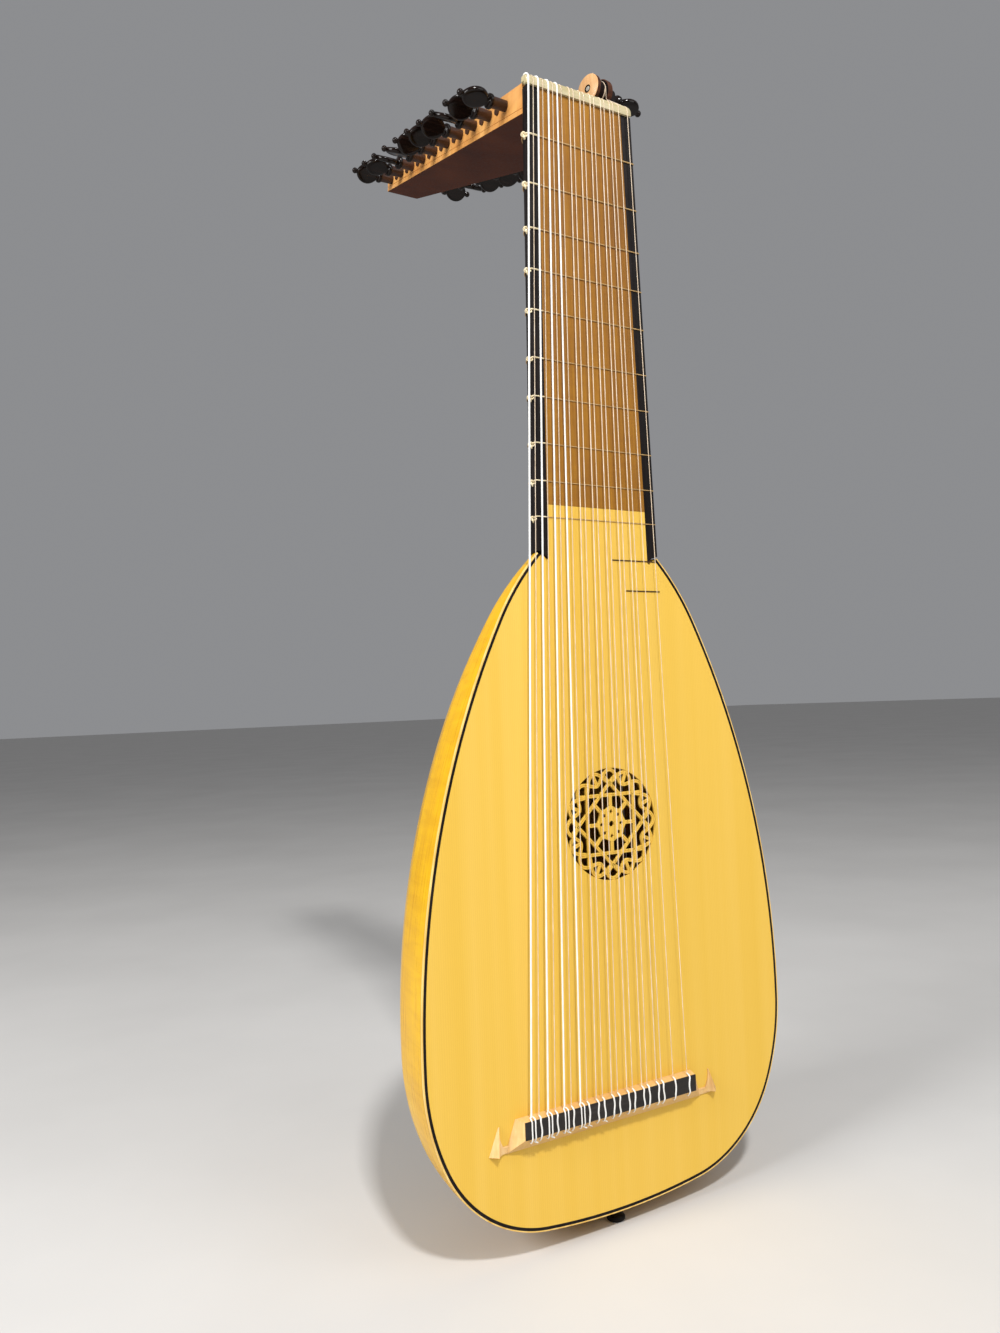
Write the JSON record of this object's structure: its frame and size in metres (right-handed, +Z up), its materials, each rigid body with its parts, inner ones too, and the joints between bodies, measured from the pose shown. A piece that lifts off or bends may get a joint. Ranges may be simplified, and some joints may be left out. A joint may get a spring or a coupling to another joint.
{
  "type": "lute",
  "caption": "Baroque lute with paired gut strings, ribbed maple bowl, carved rose, tied-string bridge, bent-back pegbox with turning tuning pegs and a raised first-string peg.",
  "frame": {"origin": "centre of the strap button's flat end, under the bottom of the body", "axes": "+Z up along the neck, +X towards the treble side, -Y is the soundboard (front) side"},
  "size_m": [0.3078, 0.2929, 0.862],
  "materials": {
    "spruce_soundboard": "satin golden spruce with fine vertical grain",
    "inside_spruce": "plain bare spruce",
    "pearwood_bridge": "satin pale pearwood with an ebony face",
    "maple_bowl": "glossy amber varnish on maple",
    "ebony": "satin black ebony",
    "fingerboard_wood": "satin mid brown with straight grain",
    "bone": "satin ivory-coloured bone",
    "pegbox_wood": "satin warm orange-brown varnish",
    "peg_rosewood": "polished dark rosewood",
    "gut_strings": "off-white gut"
  },
  "bodies": {
    "lute": {"soundboard": "spruce_soundboard", "soundboard_bar_upper": "inside_spruce", "soundboard_bar_lower": "inside_spruce", "bridge": "pearwood_bridge", "neck": "ebony", "neck_block": "inside_spruce", "fingerboard": "fingerboard_wood", "fingerboard_edge_bass": "ebony", "fingerboard_edge_treble": "ebony", "nut": "bone", "pegbox_cheek_bass": "pegbox_wood", "pegbox_cheek_treble": "pegbox_wood", "pegbox_back": "pegbox_wood", "pegbox_end": "pegbox_wood", "rider_post": "ebony", "end_clasp": "maple_bowl", "strap_button": "ebony", "rib_01": "maple_bowl", "rib_02": "maple_bowl", "rib_03": "maple_bowl", "rib_04": "maple_bowl", "rib_05": "maple_bowl", "rib_06": "maple_bowl", "rib_07": "maple_bowl", "rib_08": "maple_bowl", "rib_09": "maple_bowl", "rib_10": "maple_bowl", "rib_11": "maple_bowl", "course_11": "gut_strings", "course_10": "gut_strings", "course_09": "gut_strings", "course_08": "gut_strings", "course_07": "gut_strings", "course_06": "gut_strings", "course_05": "gut_strings", "course_04": "gut_strings", "course_03": "gut_strings", "course_02": "gut_strings", "course_01": "gut_strings"},
    "peg_bass_01": {"peg_bass_01": "peg_rosewood"},
    "peg_bass_02": {"peg_bass_02": "peg_rosewood"},
    "peg_bass_03": {"peg_bass_03": "peg_rosewood"},
    "peg_bass_04": {"peg_bass_04": "peg_rosewood"},
    "peg_bass_05": {"peg_bass_05": "peg_rosewood"},
    "peg_bass_06": {"peg_bass_06": "peg_rosewood"},
    "peg_bass_07": {"peg_bass_07": "peg_rosewood"},
    "peg_bass_08": {"peg_bass_08": "peg_rosewood"},
    "peg_bass_09": {"peg_bass_09": "peg_rosewood"},
    "peg_bass_10": {"peg_bass_10": "peg_rosewood"},
    "peg_treble_01": {"peg_treble_01": "peg_rosewood", "rider_spool": "pegbox_wood"},
    "peg_treble_02": {"peg_treble_02": "peg_rosewood"},
    "peg_treble_03": {"peg_treble_03": "peg_rosewood"},
    "peg_treble_04": {"peg_treble_04": "peg_rosewood"},
    "peg_treble_05": {"peg_treble_05": "peg_rosewood"},
    "peg_treble_06": {"peg_treble_06": "peg_rosewood"},
    "peg_treble_07": {"peg_treble_07": "peg_rosewood"},
    "peg_treble_08": {"peg_treble_08": "peg_rosewood"},
    "peg_treble_09": {"peg_treble_09": "peg_rosewood"},
    "peg_treble_10": {"peg_treble_10": "peg_rosewood"}
  },
  "joints": [
    {"name": "peg_bass_01_turn", "type": "hinge", "parent": "lute", "child": "peg_bass_01", "pos_m": [0, 0.01931, 0.79603], "axis": [1, 0, 0], "continuous": true},
    {"name": "peg_bass_02_turn", "type": "hinge", "parent": "lute", "child": "peg_bass_02", "pos_m": [0, 0.04551, 0.80258], "axis": [1, 0, 0], "continuous": true},
    {"name": "peg_bass_03_turn", "type": "hinge", "parent": "lute", "child": "peg_bass_03", "pos_m": [0, 0.07171, 0.80914], "axis": [1, 0, 0], "continuous": true},
    {"name": "peg_bass_04_turn", "type": "hinge", "parent": "lute", "child": "peg_bass_04", "pos_m": [0, 0.0979, 0.81569], "axis": [1, 0, 0], "continuous": true},
    {"name": "peg_bass_05_turn", "type": "hinge", "parent": "lute", "child": "peg_bass_05", "pos_m": [0, 0.1241, 0.82224], "axis": [1, 0, 0], "continuous": true},
    {"name": "peg_bass_06_turn", "type": "hinge", "parent": "lute", "child": "peg_bass_06", "pos_m": [0, 0.1503, 0.8288], "axis": [1, 0, 0], "continuous": true},
    {"name": "peg_bass_07_turn", "type": "hinge", "parent": "lute", "child": "peg_bass_07", "pos_m": [0, 0.17649, 0.83535], "axis": [1, 0, 0], "continuous": true},
    {"name": "peg_bass_08_turn", "type": "hinge", "parent": "lute", "child": "peg_bass_08", "pos_m": [0, 0.20269, 0.8419], "axis": [1, 0, 0], "continuous": true},
    {"name": "peg_bass_09_turn", "type": "hinge", "parent": "lute", "child": "peg_bass_09", "pos_m": [0, 0.22888, 0.84846], "axis": [1, 0, 0], "continuous": true},
    {"name": "peg_bass_10_turn", "type": "hinge", "parent": "lute", "child": "peg_bass_10", "pos_m": [0, 0.25508, 0.85501], "axis": [1, 0, 0], "continuous": true},
    {"name": "peg_treble_01_turn", "type": "hinge", "parent": "lute", "child": "peg_treble_01", "pos_m": [0.0406, 0.0056, 0.8176], "axis": [0.9877, 0.1564, 0], "continuous": true},
    {"name": "peg_treble_02_turn", "type": "hinge", "parent": "lute", "child": "peg_treble_02", "pos_m": [0, 0.03241, 0.79931], "axis": [1, 0, 0], "continuous": true},
    {"name": "peg_treble_03_turn", "type": "hinge", "parent": "lute", "child": "peg_treble_03", "pos_m": [0, 0.05861, 0.80586], "axis": [1, 0, 0], "continuous": true},
    {"name": "peg_treble_04_turn", "type": "hinge", "parent": "lute", "child": "peg_treble_04", "pos_m": [0, 0.08481, 0.81241], "axis": [1, 0, 0], "continuous": true},
    {"name": "peg_treble_05_turn", "type": "hinge", "parent": "lute", "child": "peg_treble_05", "pos_m": [0, 0.111, 0.81897], "axis": [1, 0, 0], "continuous": true},
    {"name": "peg_treble_06_turn", "type": "hinge", "parent": "lute", "child": "peg_treble_06", "pos_m": [0, 0.1372, 0.82552], "axis": [1, 0, 0], "continuous": true},
    {"name": "peg_treble_07_turn", "type": "hinge", "parent": "lute", "child": "peg_treble_07", "pos_m": [0, 0.16339, 0.83207], "axis": [1, 0, 0], "continuous": true},
    {"name": "peg_treble_08_turn", "type": "hinge", "parent": "lute", "child": "peg_treble_08", "pos_m": [0, 0.18959, 0.83863], "axis": [1, 0, 0], "continuous": true},
    {"name": "peg_treble_09_turn", "type": "hinge", "parent": "lute", "child": "peg_treble_09", "pos_m": [0, 0.21579, 0.84518], "axis": [1, 0, 0], "continuous": true},
    {"name": "peg_treble_10_turn", "type": "hinge", "parent": "lute", "child": "peg_treble_10", "pos_m": [0, 0.24198, 0.85173], "axis": [1, 0, 0], "continuous": true}
  ]
}
